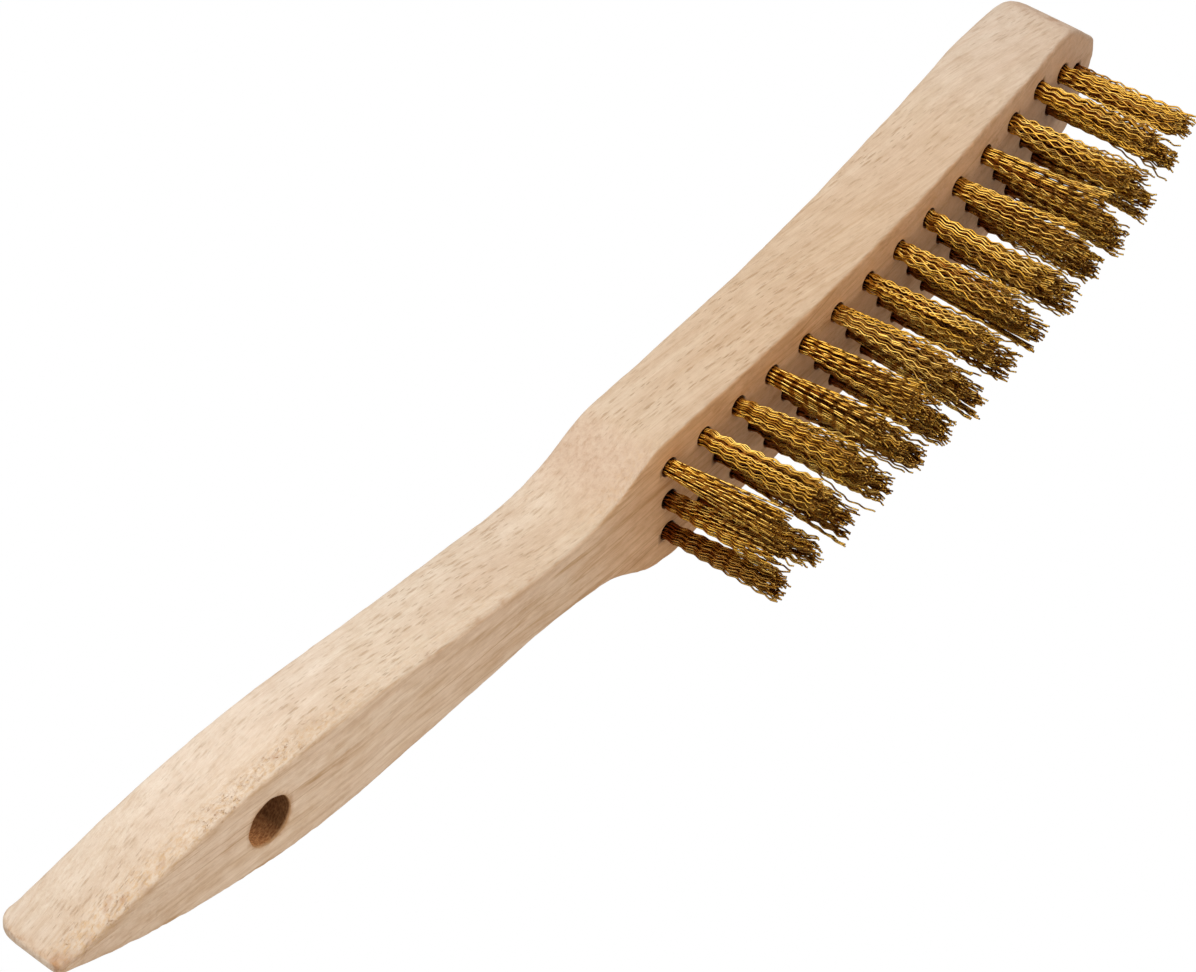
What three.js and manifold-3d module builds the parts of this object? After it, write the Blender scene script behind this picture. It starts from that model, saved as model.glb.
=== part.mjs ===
// Hand wire brush with a one-piece arched beech stock and three rows of crimped brass wire tufts.
// Units are millimetres. +X points from the handle to the head, +Y across the rows, +Z up,
// away from the tufts, which stand along -Z. The origin is the bottom centre of the bounding box.
// Until the last step, x = 0 is at the first tufts and z = 0 at the lowest point of the arch.
import * as THREE from "three";
import { mergeVertices } from "three/addons/utils/BufferGeometryUtils.js";
import Module from "manifold-3d";

const { clamp, smoothstep } = THREE.MathUtils;
const UP = new THREE.Vector3(0, 0, 1);

const wasm = await Module();
wasm.setup();

// ---- materials ----
const beech = new THREE.MeshStandardMaterial({ color: 0xdcc0a0, roughness: 0.62, metalness: 0 });
const brass = new THREE.MeshStandardMaterial({ color: 0xa87a28, roughness: 0.36, metalness: 1 });

// ---- solids and meshes ----
function toManifold(geometry) {
  geometry.deleteAttribute("normal");
  geometry.deleteAttribute("uv");
  const merged = mergeVertices(geometry, 1e-4);
  return new wasm.Manifold(
    new wasm.Mesh({
      numProp: 3,
      vertProperties: new Float32Array(merged.getAttribute("position").array),
      triVerts: new Uint32Array(merged.getIndex().array),
    }),
  );
}

function toMesh(name, solid, material) {
  const { vertProperties, triVerts } = solid.getMesh();
  const geometry = new THREE.BufferGeometry();
  const points = new THREE.BufferAttribute(new Float32Array(vertProperties), 3);
  geometry.setAttribute("position", points);
  geometry.setIndex(new THREE.BufferAttribute(new Uint32Array(triVerts), 1));
  geometry.computeVertexNormals();
  const mesh = new THREE.Mesh(geometry, material);
  mesh.name = name;
  return mesh;
}

// ---- the arch of the stock's bottom face ----
const ARCH_X = 63.2; // lowest point of the arch
// rise of the arch, by powers of (x - ARCH_X) / 100
const ARCH = { square: 7.17, cube: 1.27, fourth: 0.063 };
// between these stations the cross-sections turn from square to the arch to upright,
// because the end of the head is cut square to the tufts
const UPRIGHT = { from: 95, to: 128 };

function archHeight(x) {
  const u = (x - ARCH_X) / 100;
  return ARCH.square * u ** 2 + ARCH.cube * u ** 3 + ARCH.fourth * u ** 4;
}

function archSlope(x) {
  const u = (x - ARCH_X) / 100;
  return (2 * ARCH.square * u + 3 * ARCH.cube * u ** 2 + 4 * ARCH.fourth * u ** 3) / 100;
}

// A point at a height above the bottom face at station x, square to the face or turned upright.
function onArch(x, y, height) {
  const slope = archSlope(x);
  const stretch = Math.hypot(1, slope);
  const lean = 1 - smoothstep(x, UPRIGHT.from, UPRIGHT.to);
  const shift = ((height * slope) / stretch) * lean;
  return new THREE.Vector3(x - shift, y, archHeight(x) + height / stretch);
}

// ---- tuft sizes and places ----
const PITCH = 9.718; // along a row
const ROW = 7.87; // between rows
const COLUMNS = 14;
const NOSE_PAIR = { back: 0.5, y: 4.2 }; // last outer pair: moved back, and drawn in to this y
const HOLE = { radius: 2.2, depth: 9.5, segments: 12 }; // blind hole for one tuft

const TUFT_LENGTH = 24.3; // trim length below the face
const TUFT_SEGMENTS = 10;
const ROOT_R = 1.78; // the bundle where it leaves the face
const TIP_R = 3.3; // the bundle flares to this
const TIP_R_NOSE = 2.72; // tufts that stand closer together at the nose
const TIP_BEVEL = { inset: 0.5, height: 0.8 };
const FOLD = { radius: 1.3, height: 1.2 }; // the root narrows to this radius over this height
const FOLD_GAP = 0.5; // between the folded root and the bottom of its hole
const FOLD_TOP = HOLE.depth - FOLD_GAP;
const ANCHOR = { length: 3.55, thickness: 0.5, height: 1.5 }; // flat wire through the fold
const ANCHOR_DROP = 1.7; // from the top of the fold to the anchor's middle

// The outer rows stand in line. The middle row starts in line with them,
// then stands half a pitch further on.
function tuftPlaces() {
  const outer = [];
  const middle = [];
  for (let column = 1; column <= COLUMNS; column++) {
    const number = String(column).padStart(2, "0");
    const last = column === COLUMNS;
    const x = (column - 1) * PITCH - (last ? NOSE_PAIR.back : 0);
    const y = last ? NOSE_PAIR.y : ROW;
    const tipR = last ? TIP_R_NOSE : TIP_R;
    outer.push({ name: `tuft_near_${number}`, x, y: -y, tipR });
    outer.push({ name: `tuft_far_${number}`, x, y, tipR });
    middle.push({
      name: `tuft_mid_${number}`,
      x: column === 1 ? 0 : (column - 0.5) * PITCH,
      y: 0,
      tipR: column >= COLUMNS - 1 ? TIP_R_NOSE : TIP_R,
    });
  }
  return [...outer, ...middle];
}

// ---- stock sizes ----
const THICKNESS = 16.65; // square to the arched face
const EDGE_R = 1.5; // rounding along all long edges
const EDGE_R_SHARE = 0.72; // most that a rounding may take of the half width
// [x, half width in plan] from the tail to the nose
const OUTLINE = [
  [-151.9, 0.95], [-151.3, 1.2], [-150.2, 1.45], [-148.4, 1.75], [-146.0, 2.2], [-142.5, 3.1],
  [-138.5, 4.2], [-133.8, 5.2], [-127.6, 6.45], [-122.7, 7.55], [-117.7, 8.55], [-112.0, 9.4],
  [-107.0, 10.0], [-102.0, 10.5], [-97.0, 10.9], [-92.0, 11.15], [-87.0, 11.1], [-82.0, 10.95],
  [-76.5, 10.65], [-71.2, 10.35], [-66.0, 10.0], [-61.3, 9.7], [-56.0, 9.3], [-51.4, 8.95],
  [-46.0, 8.55], [-40.5, 8.2], [-35.5, 7.8], [-30.6, 7.6], [-25.7, 7.65], [-20.8, 8.05],
  [-15.8, 9.05], [-13.0, 10.05], [-10.4, 11.25], [-7.9, 12.5], [-5.4, 13.6], [-3.6, 14.2],
  [-1.8, 14.55], [0.5, 14.7], [12.0, 14.7], [24.0, 14.7], [36.0, 14.7], [48.0, 14.7],
  [60.0, 14.7], [72.0, 14.7], [84.0, 14.7], [96.0, 14.7], [102.5, 14.45], [108.8, 14.1],
  [114.8, 13.75], [120.7, 13.35], [125.2, 12.95], [128.2, 12.5], [130.3, 11.5], [132.2, 9.8],
  [134.2, 7.6], [136.2, 5.3], [137.9, 3.4], [138.8, 2.3], [139.2, 1.4],
];
const TAIL_X = OUTLINE[0][0];
const NOSE_X = OUTLINE.at(-1)[0];
const TAIL_THIN = { from: -104, depth: 0.3 }; // taken off the back, growing to the tail
// the edges along the back are rounded more and more, by `extra` at the end of `length`
const NOSE_EDGE = { from: 111, length: 18, power: 1.4, extra: 3.4 };
// rounding of the faces into the ends: over `length`, `depth` at the very end
const TAIL_ROUND = { length: 3, depth: 1.5 }; // both faces
const NOSE_ROUND_BOTTOM = { length: 1.5, depth: 0.8 };
const NOSE_ROUND_BACK = { length: 6, depth: 4.8 };
const HANG_HOLE = { x: -102.0, radius: 4.95, segments: 24 };
const BOTTOM_OVERCUT = 2; // the tuft drills start this far below the bottom face
const HANG_OVERCUT = 4; // the hanging hole's drill passes each face by this much

// What an end rounding takes off a face at a distance from that end.
function roundOff(distance, { length, depth }) {
  if (distance >= length) return 0;
  return depth * (1 - Math.sqrt(Math.max(0, 1 - (1 - distance / length) ** 2)));
}

// Half widths, rounding radii and face heights of the stock at one station.
function stockSection([x, half]) {
  const towardsNose = clamp((x - NOSE_EDGE.from) / NOSE_EDGE.length, 0, 1) ** NOSE_EDGE.power;
  const maxR = half * EDGE_R_SHARE;
  const bottomR = Math.min(EDGE_R, maxR);
  const backR = Math.min(EDGE_R + NOSE_EDGE.extra * towardsNose, maxR);

  const tailward = smoothstep(TAIL_THIN.from - x, 0, TAIL_THIN.from - TAIL_X);
  const thin = TAIL_THIN.depth * tailward;
  const tail = roundOff(x - TAIL_X, TAIL_ROUND);
  const bottom = tail + roundOff(NOSE_X - x, NOSE_ROUND_BOTTOM);
  const back = THICKNESS - thin - tail - roundOff(NOSE_X - x, NOSE_ROUND_BACK);
  const heights = [bottom, bottom + bottomR, (bottom + back) / 2, back - backR, back];
  return { x, half, bottomR, backR, heights };
}

// A box with a 4 x 4 grid in section, each station shaped to its rounded section, then arched.
function stockGeometry() {
  const spans = OUTLINE.length - 1;
  const geometry = new THREE.BoxGeometry(spans, 4, 4, spans, 4, 4);
  const position = geometry.getAttribute("position");
  const sections = OUTLINE.map(stockSection);
  for (let i = 0; i < position.count; i++) {
    const section = sections[Math.round(position.getX(i) + spans / 2)];
    const across = Math.round(position.getY(i) + 2); // 0..4 along +Y
    const level = Math.round(position.getZ(i) + 2); // 0..4 from the bottom to the back
    const { half } = section;
    const r = level >= 3 ? section.backR : section.bottomR;
    let y = [-half, -(half - r), 0, half - r, half][across];
    let height = section.heights[level];
    if (across % 4 === 0 && level % 4 === 0) {
      // a corner of the section moves in to the middle of its rounded edge
      const inset = r * (1 - Math.SQRT1_2);
      y -= Math.sign(y) * inset;
      height += level === 0 ? inset : -inset;
    }
    const point = onArch(section.x, y, height);
    position.setXYZ(i, point.x, point.y, point.z);
  }
  return geometry;
}

// A cylinder through the bottom face at (x, y), between two distances along its direction.
function drill({ radius, segments, x, y, from, to, direction }) {
  const geometry = new THREE.CylinderGeometry(radius, radius, to - from, segments, 1);
  geometry.rotateX(Math.PI / 2); // along Z
  geometry.translate(0, 0, (from + to) / 2);
  geometry.applyQuaternion(new THREE.Quaternion().setFromUnitVectors(UP, direction));
  geometry.translate(x, y, archHeight(x));
  return toManifold(geometry);
}

function makeStock(places) {
  let solid = toManifold(stockGeometry());
  for (const { x, y } of places) {
    const span = { from: -BOTTOM_OVERCUT, to: HOLE.depth };
    solid = solid.subtract(drill({ ...HOLE, x, y, ...span, direction: UP }));
  }
  // the hanging hole is square to the handle's faces
  const direction = new THREE.Vector3(-archSlope(HANG_HOLE.x), 0, 1).normalize();
  const span = { from: -HANG_OVERCUT, to: THICKNESS + HANG_OVERCUT };
  solid = solid.subtract(drill({ ...HANG_HOLE, y: 0, ...span, direction }));
  return toMesh("stock", solid, beech);
}

// A bundle folded over a flat anchor in its hole, flaring below the face. z = 0 is the face.
function makeTuft({ name, x, y, tipR }) {
  const profile = [
    [0, -TUFT_LENGTH],
    [tipR - TIP_BEVEL.inset, -TUFT_LENGTH],
    [tipR, -TUFT_LENGTH + TIP_BEVEL.height],
    [ROOT_R, 0],
    [ROOT_R, FOLD_TOP - FOLD.height],
    [FOLD.radius, FOLD_TOP],
    [0, FOLD_TOP],
  ].map(([r, z]) => new THREE.Vector2(r, z));
  const bundle = new THREE.LatheGeometry(profile, TUFT_SEGMENTS);
  bundle.rotateX(Math.PI / 2); // the lathe axis becomes Z

  const anchor = new THREE.BoxGeometry(ANCHOR.length, ANCHOR.thickness, ANCHOR.height);
  anchor.translate(0, 0, FOLD_TOP - ANCHOR_DROP);

  const mesh = toMesh(name, toManifold(bundle).add(toManifold(anchor)), brass);
  mesh.position.set(x, y, archHeight(x));
  return mesh;
}

// ---- assembly ----
const places = tuftPlaces();
const brush = new THREE.Group();
brush.add(makeStock(places), ...places.map(makeTuft));

// the origin goes to the bottom centre of the bounding box
const box = new THREE.Box3().setFromObject(brush, true);
brush.position.set(-(box.min.x + box.max.x) / 2, 0, -box.min.z);

const group = new THREE.Group();
group.add(brush);
group.updateMatrixWorld(true);

export default group;
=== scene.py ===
"""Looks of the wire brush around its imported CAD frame. Metres, same frame as the CAD: +X from the handle
to the head, +Y across the rows, +Z up, the tufts stand along -Z."""

import math

import bpy
import numpy as np
from mathutils import Matrix, Vector


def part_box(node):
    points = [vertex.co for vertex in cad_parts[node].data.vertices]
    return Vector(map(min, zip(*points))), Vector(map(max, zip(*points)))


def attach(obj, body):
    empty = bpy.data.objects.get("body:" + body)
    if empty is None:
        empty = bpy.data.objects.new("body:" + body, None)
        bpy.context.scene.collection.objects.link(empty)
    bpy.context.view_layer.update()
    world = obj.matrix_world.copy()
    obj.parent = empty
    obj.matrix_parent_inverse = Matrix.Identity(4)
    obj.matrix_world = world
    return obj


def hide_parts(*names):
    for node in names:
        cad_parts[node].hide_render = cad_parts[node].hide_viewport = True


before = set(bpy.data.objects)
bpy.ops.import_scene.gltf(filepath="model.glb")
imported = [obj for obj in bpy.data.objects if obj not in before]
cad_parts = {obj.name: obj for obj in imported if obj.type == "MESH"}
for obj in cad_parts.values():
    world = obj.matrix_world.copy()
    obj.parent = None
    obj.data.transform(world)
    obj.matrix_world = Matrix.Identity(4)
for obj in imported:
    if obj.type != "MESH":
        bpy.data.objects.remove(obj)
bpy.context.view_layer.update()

RNG = np.random.default_rng(20406)
MM = 0.001

# ---- where the CAD put things: the tuft frame has the first tuft of the middle row at x = 0 -------------
_lo, _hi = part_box("tuft_mid_01")
SX = (_lo.x + _hi.x) / 2 / MM
TRIM = 24.3
SZ = TRIM

THICKNESS = 17.0
ARCH_X, ARCH = 63.2, (7.17, 1.27, 0.063)
OUTLINE = np.array([
    [-151.35, 0.95], [-150.9, 1.2], [-150.0, 1.45], [-148.4, 1.75], [-146.0, 2.2], [-142.5, 3.1],
    [-138.5, 4.2], [-133.8, 5.2], [-127.6, 6.45], [-122.7, 7.55], [-117.7, 8.55], [-112.0, 9.4],
    [-107.0, 10.0], [-102.0, 10.5], [-97.0, 10.9], [-92.0, 11.15], [-87.0, 11.1], [-82.0, 10.95], [-76.5, 10.65],
    [-71.2, 10.35], [-66.0, 10.0], [-61.3, 9.7], [-56.0, 9.3], [-51.4, 8.95], [-46.0, 8.55],
    [-40.5, 8.2], [-35.5, 7.8], [-30.6, 7.6], [-25.7, 7.65], [-20.8, 8.05], [-15.8, 9.05],
    [-13.0, 10.05], [-10.4, 11.25], [-7.9, 12.5], [-5.4, 13.6], [-3.6, 14.2], [-1.8, 14.55],
    [0.5, 14.7], [12.0, 14.7], [24.0, 14.7], [36.0, 14.7], [48.0, 14.7], [60.0, 14.7],
    [72.0, 14.7], [84.0, 14.7], [96.0, 14.7], [102.5, 14.45], [108.8, 14.1], [114.8, 13.75],
    [120.7, 13.35], [125.2, 12.95], [128.2, 12.5], [130.3, 11.5], [132.2, 9.8], [134.2, 7.6], [136.2, 5.3],
    [137.9, 3.4], [138.8, 2.3], [139.2, 1.4],
])
TAIL_X, HEAD_X = -151.35, 139.2
UPRIGHT = (95.0, 128.0)
TAIL_UPRIGHT = (125.0, 148.0, 0.0)
# what sanding took off the back and, towards the far side, off the tufted face: (x, millimetres)
TOP_TRIM = np.array([
    [-151.9, 0.45], [-140, 0.55], [-135, 0.38], [-125, 0.24], [-120, 0.36], [-105, 0.33], [-100, 0.41], [-90, 0.47],
    [-80, 0.40], [-70, 0.44], [-60, 0.32], [-54, 0.15], [-45, 0.05], [-38, 0.0], [-16, 0.0], [-9, 0.18], [-4, 0.36],
    [5, 0.42], [35, 0.50], [60, 0.39], [80, 0.28], [95, 0.32], [105, 0.38], [115, 0.32], [139.2, 0.32],
])
LOW_TRIM = np.array([
    [-151.9, 0.1], [-138, 0.0], [-120, -0.17], [-100, -0.16], [-80, -0.28], [-72, 0.0], [-60, 0.12], [-38, 0.24],
    [-29, 0.05], [-20, 0.0], [139.2, 0.0],
])
# how far the far side stands off the symmetrical outline, and how the tail's tip leans to the near side
FAR_TRIM = np.array([
    [-151.9, 0.0], [-130, -0.05], [-121, -0.12], [-117.5, -0.25], [-112, -0.40], [-107.5, -0.25], [-100.7, -0.3], [-94, -0.30],
    [-80, -0.28], [-73.3, -0.55], [-62.8, -0.60], [-57, -0.43], [-52, -0.28], [-45, -0.42], [-41, -0.60], [-34, -0.68],
    [-30, -0.47], [-19, -0.41], [-15.9, -0.70], [-12.5, -0.85], [-9.4, -1.0], [-7.7, -0.85], [-5.5, -0.45], [-3.8, -0.2],
    [-2.1, 0.15], [-0.5, 0.40], [1.2, 0.60], [3.5, 0.60], [13.0, 0.0], [139.2, 0.0],
])
LEAN = np.array([[-151.9, -1.5], [-150, -1.35], [-148, -1.10], [-145.5, -0.65], [-141.5, -0.45], [-137.6, -0.25], [-134, -0.1], [-130, 0.0], [139.2, 0.0]])
HANG_X, HANG_R = -102.0, 4.95
PITCH, ROW, COLUMNS = 9.718, 7.87, 14
HOLE_R, HOLE_DEPTH = 2.2, 9.5


def arch(x):
    u = (x - ARCH_X) / 100
    return ARCH[0] * u**2 + ARCH[1] * u**3 + ARCH[2] * u**4


def slope(x):
    u = (x - ARCH_X) / 100
    return (2 * ARCH[0] * u + 3 * ARCH[1] * u**2 + 4 * ARCH[2] * u**3) / 100


def smooth(x, a, b):
    t = np.clip((x - a) / (b - a), 0, 1)
    return t * t * (3 - 2 * t)


def on_arch(x, y, h):
    """Points h above the tufted face at station x, in millimetres of the tuft frame."""
    m = slope(x)
    n = np.hypot(1, m)
    upright = smooth(x, *UPRIGHT) + TAIL_UPRIGHT[2] * smooth(-x, *TAIL_UPRIGHT[:2])
    return np.stack([x - h * m / n * (1 - upright), y + 0 * x, arch(x) + h / n], -1)


def to_row(p):
    """Tuft frame millimetres to the row frame in metres."""
    return (p + np.array([SX, 0.0, SZ])) * MM


def value_noise(p, seed, cell):
    """Smooth noise in -1..1 at points p (n, 3), the same each run."""
    q = p / cell
    i = np.floor(q).astype(np.int64)
    f = q - i
    f = f * f * (3 - 2 * f)
    out = 0
    for dx in (0, 1):
        for dy in (0, 1):
            for dz in (0, 1):
                c = i + np.array([dx, dy, dz])
                h = (c[:, 0] * 73856093) ^ (c[:, 1] * 19349663) ^ (c[:, 2] * 83492791) ^ (seed * 2654435761)
                h = (h ^ (h >> 13)) * 1274126177 & 0x7FFFFFFF
                h = ((h ^ (h >> 16)) & 0xFFFF) / 32767.5 - 1
                w = (f[:, 0] if dx else 1 - f[:, 0]) * (f[:, 1] if dy else 1 - f[:, 1]) * (f[:, 2] if dz else 1 - f[:, 2])
                out = out + w * h
    return out


def mesh_object(name, verts, faces, material, shade=True):
    me = bpy.data.meshes.new(name)
    me.from_pydata([tuple(v) for v in verts], [], [tuple(f) for f in faces])
    me.update()
    if shade:
        me.polygons.foreach_set("use_smooth", np.ones(len(me.polygons), bool))
    ob = bpy.data.objects.new(name, me)
    bpy.context.scene.collection.objects.link(ob)
    me.materials.append(material)
    return ob


def quads_object(name, verts, quads, caps, material):
    """Fast mesh from numpy: quads (n, 4) and equal-sided end caps (m, k)."""
    me = bpy.data.meshes.new(name)
    me.vertices.add(len(verts))
    me.vertices.foreach_set("co", np.ascontiguousarray(verts, np.float32).ravel())
    loops = np.concatenate([quads.ravel(), caps.ravel()]).astype(np.int32)
    me.loops.add(len(loops))
    me.loops.foreach_set("vertex_index", loops)
    sizes = np.concatenate([np.full(len(quads), 4), np.full(len(caps), caps.shape[1])])
    starts = np.concatenate([[0], np.cumsum(sizes)[:-1]]).astype(np.int32)
    me.polygons.add(len(sizes))
    me.polygons.foreach_set("loop_start", starts)
    smooth_flags = np.concatenate([np.ones(len(quads), bool), np.zeros(len(caps), bool)])
    me.polygons.foreach_set("use_smooth", smooth_flags)
    me.update(calc_edges=True)
    me.validate()
    ob = bpy.data.objects.new(name, me)
    bpy.context.scene.collection.objects.link(ob)
    me.materials.append(material)
    return ob


# ---- node material helper -------------------------------------------------------------------------------
class Mat:
    def __init__(self, name):
        self.m = bpy.data.materials.new(name)
        self.m.use_nodes = True
        self.nt = self.m.node_tree
        self.nt.nodes.clear()
        self.out = self.add("ShaderNodeOutputMaterial")
        self.p = self.add("ShaderNodeBsdfPrincipled")
        self.link(self.p.outputs[0], self.out.inputs["Surface"])

    def add(self, kind, **props):
        n = self.nt.nodes.new(kind)
        for k, v in props.items():
            setattr(n, k, v)
        return n

    def link(self, a, b):
        self.nt.links.new(a, b)

    def put(self, socket, v):
        if hasattr(v, "is_linked"):
            self.link(v, socket)
        elif v is not None:
            socket.default_value = v

    def math(self, op, a, b=None, c=None, clamp=False):
        n = self.add("ShaderNodeMath", operation=op, use_clamp=clamp)
        for s, v in zip(n.inputs, (a, b, c)):
            self.put(s, v)
        return n.outputs[0]

    def vmath(self, op, a, b=None, c=None, out=0):
        n = self.add("ShaderNodeVectorMath", operation=op)
        for s, v in zip(n.inputs, (a, b, c)):
            self.put(s, v)
        return n.outputs[out]

    def mapping(self, vec, loc=(0, 0, 0), rot=(0, 0, 0), scale=(1, 1, 1)):
        n = self.add("ShaderNodeMapping")
        self.link(vec, n.inputs[0])
        n.inputs[1].default_value, n.inputs[2].default_value, n.inputs[3].default_value = loc, rot, scale
        return n.outputs[0]

    def noise(self, vec, scale, detail=2.0, rough=0.5, dist=0.0, color=False):
        n = self.add("ShaderNodeTexNoise")
        self.link(vec, n.inputs["Vector"])
        n.inputs["Scale"].default_value = scale
        n.inputs["Detail"].default_value = detail
        n.inputs["Roughness"].default_value = rough
        n.inputs["Distortion"].default_value = dist
        return n.outputs["Color" if color else "Fac"]

    def voronoi(self, vec, scale, feature="F1", rand=1.0, out="Distance"):
        n = self.add("ShaderNodeTexVoronoi", feature=feature)
        self.link(vec, n.inputs["Vector"])
        n.inputs["Scale"].default_value = scale
        n.inputs["Randomness"].default_value = rand
        return n.outputs[out]

    def remap(self, v, a, b, c=0.0, d=1.0, smoothstep=False):
        n = self.add("ShaderNodeMapRange")
        if smoothstep:
            n.interpolation_type = "SMOOTHSTEP"
        self.link(v, n.inputs[0])
        for i, x in zip((1, 2, 3, 4), (a, b, c, d)):
            self.put(n.inputs[i], x)
        return n.outputs[0]

    def mix(self, fac, a, b, blend="MIX"):
        n = self.add("ShaderNodeMix", data_type="RGBA", blend_type=blend)
        n.clamp_factor = True
        self.put(n.inputs[0], fac)
        self.put(n.inputs[6], a if hasattr(a, "is_linked") else (*a, 1.0))
        self.put(n.inputs[7], b if hasattr(b, "is_linked") else (*b, 1.0))
        return n.outputs[2]

    def bump(self, height, strength, distance, normal=None):
        n = self.add("ShaderNodeBump")
        n.inputs["Strength"].default_value = strength
        n.inputs["Distance"].default_value = distance
        self.link(height, n.inputs["Height"])
        if normal is not None:
            self.link(normal, n.inputs["Normal"])
        return n.outputs[0]


def srgb(r, g, b):
    return tuple((c / 255 / 12.92) if c / 255 <= 0.04045 else ((c / 255 + 0.055) / 1.055) ** 2.4 for c in (r, g, b))


# ---- beech ----------------------------------------------------------------------------------------------
GRAIN_TILT = -0.17  # the fibres run straight through the arched blank: slope of z over x


def beech():
    k = Mat("beech")
    co = k.add("ShaderNodeTexCoord").outputs["Object"]
    mm = k.vmath("SCALE", co)
    mm.node.inputs["Scale"].default_value = 1000.0
    tilt = math.atan(GRAIN_TILT)
    # grain frame: x along the fibres, in millimetres
    # and they swing round towards the tail
    sep0 = k.add("ShaderNodeSeparateXYZ")
    k.link(mm, sep0.inputs[0])
    swing = k.math("MAXIMUM", k.math("SUBTRACT", -54.0, sep0.outputs[0]), 0.0)
    swing = k.math("MULTIPLY", k.math("MULTIPLY", swing, swing), 0.0012)
    bent = k.add("ShaderNodeCombineXYZ")
    k.link(sep0.outputs[0], bent.inputs[0])
    k.link(sep0.outputs[1], bent.inputs[1])
    k.link(k.math("ADD", sep0.outputs[2], swing), bent.inputs[2])
    g0 = k.mapping(bent.outputs[0], rot=(0.0, tilt, 0.0))
    wander = k.noise(k.mapping(g0, scale=(0.02, 0.05, 0.05)), 1.0, 1.0, 0.5, color=True)
    w = k.vmath("SUBTRACT", wander, (0.5, 0.5, 0.5))
    w = k.vmath("MULTIPLY", w, (0.0, 5.0, 5.0))
    g = k.vmath("ADD", g0, w)

    base = (0.765, 0.585, 0.425)
    light = (0.83, 0.665, 0.50)
    tan = (0.69, 0.49, 0.325)
    dark = (0.52, 0.335, 0.20)

    # growth layers: soft bands a few millimetres apart, long along the fibres
    bands = k.noise(k.mapping(g, scale=(0.012, 0.30, 0.42)), 1.0, 3.0, 0.55)
    fine = k.noise(k.mapping(g, scale=(0.03, 1.3, 1.9)), 1.0, 4.0, 0.6)
    col = k.mix(k.remap(bands, 0.35, 0.68), base, light)
    col = k.mix(k.math("MULTIPLY", k.remap(fine, 0.48, 0.74), 0.85), col, tan)
    # broad, faint pinkish and greyish clouds from uneven drying
    cloud = k.noise(k.mapping(mm, scale=(0.02, 0.05, 0.05)), 1.0, 2.0, 0.5)
    col = k.mix(k.math("MULTIPLY", k.remap(cloud, 0.45, 0.75), 0.35), col, (0.80, 0.60, 0.46))

    # fibres: very fine streaks
    fibre = k.noise(k.mapping(g, scale=(0.16, 5.5, 7.0)), 1.0, 3.0, 0.65)
    col = k.mix(k.math("MULTIPLY", k.remap(fibre, 0.50, 0.76), 0.62), col, tan)
    col = k.mix(k.math("MULTIPLY", k.remap(fibre, 0.48, 0.24), 0.50), col, (0.87, 0.72, 0.57))

    # ray flecks: short dark dashes along the fibres
    jit = k.noise(k.mapping(g, scale=(0.7, 0.7, 0.7)), 1.0, 2.0, 0.5, color=True)
    jit = k.vmath("MULTIPLY", k.vmath("SUBTRACT", jit, (0.5, 0.5, 0.5)), (1.2, 0.25, 0.25))
    gj = k.vmath("ADD", g, jit)
    d1 = k.voronoi(k.mapping(gj, scale=(0.17, 0.42, 1.25)), 1.0)
    d2 = k.voronoi(k.mapping(gj, loc=(3.1, 7.7, 1.9), scale=(0.30, 0.62, 2.1)), 1.0)
    f1 = k.remap(d1, 0.29, 0.13)
    f2 = k.remap(d2, 0.27, 0.11)
    patch = k.remap(k.noise(k.mapping(g, scale=(0.025, 0.09, 0.09)), 1.0, 1.0), 0.40, 0.62, 0.35, 1.0)
    flecks = k.math("MAXIMUM", k.math("MULTIPLY", f1, 0.9), k.math("MULTIPLY", f2, 0.85))
    flecks = k.math("MULTIPLY", flecks, patch)
    geo = k.add("ShaderNodeNewGeometry")
    nrm = k.add("ShaderNodeSeparateXYZ")
    k.link(geo.outputs["Normal"], nrm.inputs[0])
    flat = k.remap(k.math("ABSOLUTE", nrm.outputs["Z"]), 0.55, 0.92)
    col = k.mix(k.math("MULTIPLY", flecks, k.remap(flat, 0.0, 1.0, 0.80, 0.30)), col, dark)

    # the head is warmer than the handle
    sx = k.add("ShaderNodeSeparateXYZ")
    k.link(mm, sx.inputs[0])
    warm = k.math("MULTIPLY", k.remap(sx.outputs[0], -14.0, 34.0), k.remap(sx.outputs[0], 70.0, 116.0, 1.0, 0.35))
    col = k.mix(warm, col, (0.955, 0.895, 0.825), blend="MULTIPLY")
    col = k.mix(k.remap(sx.outputs[0], -30.0, -64.0), col, (1.09, 1.135, 1.19), blend="MULTIPLY")
    col = k.mix(k.remap(sx.outputs[0], -100.0, -140.0), col, (0.90, 0.88, 0.87), blend="MULTIPLY")
    col = k.mix(k.remap(sx.outputs[0], 98.0, 126.0), col, (0.985, 1.0, 1.055), blend="MULTIPLY")
    # the sides are paler towards the back
    rise = k.add("ShaderNodeAttribute", attribute_name="rise").outputs["Fac"]
    col = k.mix(k.remap(rise, 0.35, 1.0, 0.0, 0.9), col, (1.03, 1.07, 1.12), blend="MULTIPLY")

    # long brown streaks where the late wood runs out on the tufted face and the back
    streak = k.noise(k.mapping(g, scale=(0.020, 0.55, 0.10)), 1.0, 5.0, 0.62)
    col = k.mix(k.math("MULTIPLY", k.math("MULTIPLY", k.remap(streak, 0.53, 0.72), flat), 0.45), col, (0.54, 0.34, 0.18))
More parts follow.
